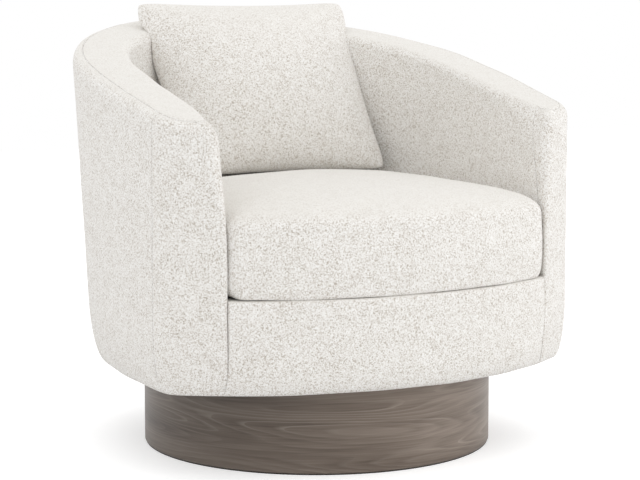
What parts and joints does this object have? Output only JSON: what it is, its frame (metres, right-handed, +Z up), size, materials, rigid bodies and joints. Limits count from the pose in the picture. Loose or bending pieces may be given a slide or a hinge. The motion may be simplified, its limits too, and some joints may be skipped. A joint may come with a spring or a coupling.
{
  "type": "swivel chair",
  "caption": "Upholstered barrel swivel chair: a raked padded tub with a loose seat cushion and pillow, turning on a ball-bearing plate inside a round timber plinth.",
  "frame": {"origin": "on the floor under the swivel axis", "axes": "+Z up along the swivel axis, the chair faces -Y, +X to the right as a viewer in front sees it"},
  "size_m": [0.7628, 0.7718, 0.7352],
  "materials": {
    "felt": "needled felt",
    "oak_veneer": "grey stained oak veneer, satin lacquer",
    "plywood": "raw birch plywood",
    "softwood": "planed pine",
    "zinc_steel": "bright zinc plate",
    "black_steel": "black stove enamel",
    "spring_wire": "oiled spring wire",
    "paper_wire": "paper-covered wire",
    "nylon": "natural nylon",
    "fibreboard": "grey-brown fibreboard",
    "webbing": "woven elastic webbing",
    "black_cloth": "spunbond dust cloth",
    "deck_cloth": "woven jute",
    "deck_fabric": "plain cotton lining",
    "foam": "open-cell foam",
    "wadding": "polyester fibre",
    "boucle": "cream boucle"
  },
  "bodies": {
    "base": {"floor_pad": "felt", "plinth_drum": "oak_veneer", "plinth_stiffener": "plywood", "plinth_top_board": "plywood", "plinth_glue_blocks": "softwood", "plinth_board_screws": "zinc_steel", "lower_swivel_plate": "black_steel", "lower_plate_screws": "zinc_steel", "swivel_rivet": "zinc_steel"},
    "ball_cage": {"ball_cage": "nylon", "bearing_balls": "zinc_steel"},
    "tub": {"upper_swivel_plate": "black_steel", "upper_plate_bolts": "zinc_steel", "tee_nuts": "zinc_steel", "frame_base_board": "plywood", "arm_stump_left": "softwood", "arm_stump_right": "softwood", "frame_top_rail": "plywood", "frame_seat_rail": "plywood", "frame_ribs": "plywood", "frame_front_rail": "softwood", "seat_springs": "spring_wire", "spring_clips": "zinc_steel", "spring_tie_wires": "paper_wire", "deck_cloth": "deck_cloth", "deck_pad": "foam", "deck_cover": "deck_fabric", "front_rail_pad": "foam", "front_rail_cover": "boucle", "inner_foam": "foam", "rim_pad": "foam", "outer_wadding": "wadding", "arm_front_pad_left": "wadding", "arm_front_pad_right": "wadding", "outer_board": "fibreboard", "back_webbing": "webbing", "inner_cover": "boucle", "outer_cover": "boucle", "arm_front_cover_left": "boucle", "arm_front_cover_right": "boucle", "dust_cover": "black_cloth"},
    "seat_cushion": {"seat_cushion_cover": "boucle", "seat_cushion_foam": "foam"},
    "pillow": {"pillow_cover": "boucle", "pillow_insert": "wadding"}
  },
  "joints": [
    {"name": "swivel", "type": "hinge", "parent": "base", "child": "tub", "pos_m": [0, 0, 0.134], "axis": [0, 0, 1], "continuous": true},
    {"name": "cage_turn", "type": "hinge", "parent": "base", "child": "ball_cage", "pos_m": [0, 0, 0.134], "axis": [0, 0, 1], "continuous": true},
    {"name": "cushion_lift", "type": "slide", "parent": "tub", "child": "seat_cushion", "axis": [0, 0, 1], "range_m": [0, 0.45]},
    {"name": "pillow_lift", "type": "slide", "parent": "seat_cushion", "child": "pillow", "axis": [0, 0, 1], "range_m": [0, 0.35]}
  ],
  "couplings": [
    {"joint": "cage_turn", "follows": "swivel", "ratio": 0.5}
  ]
}
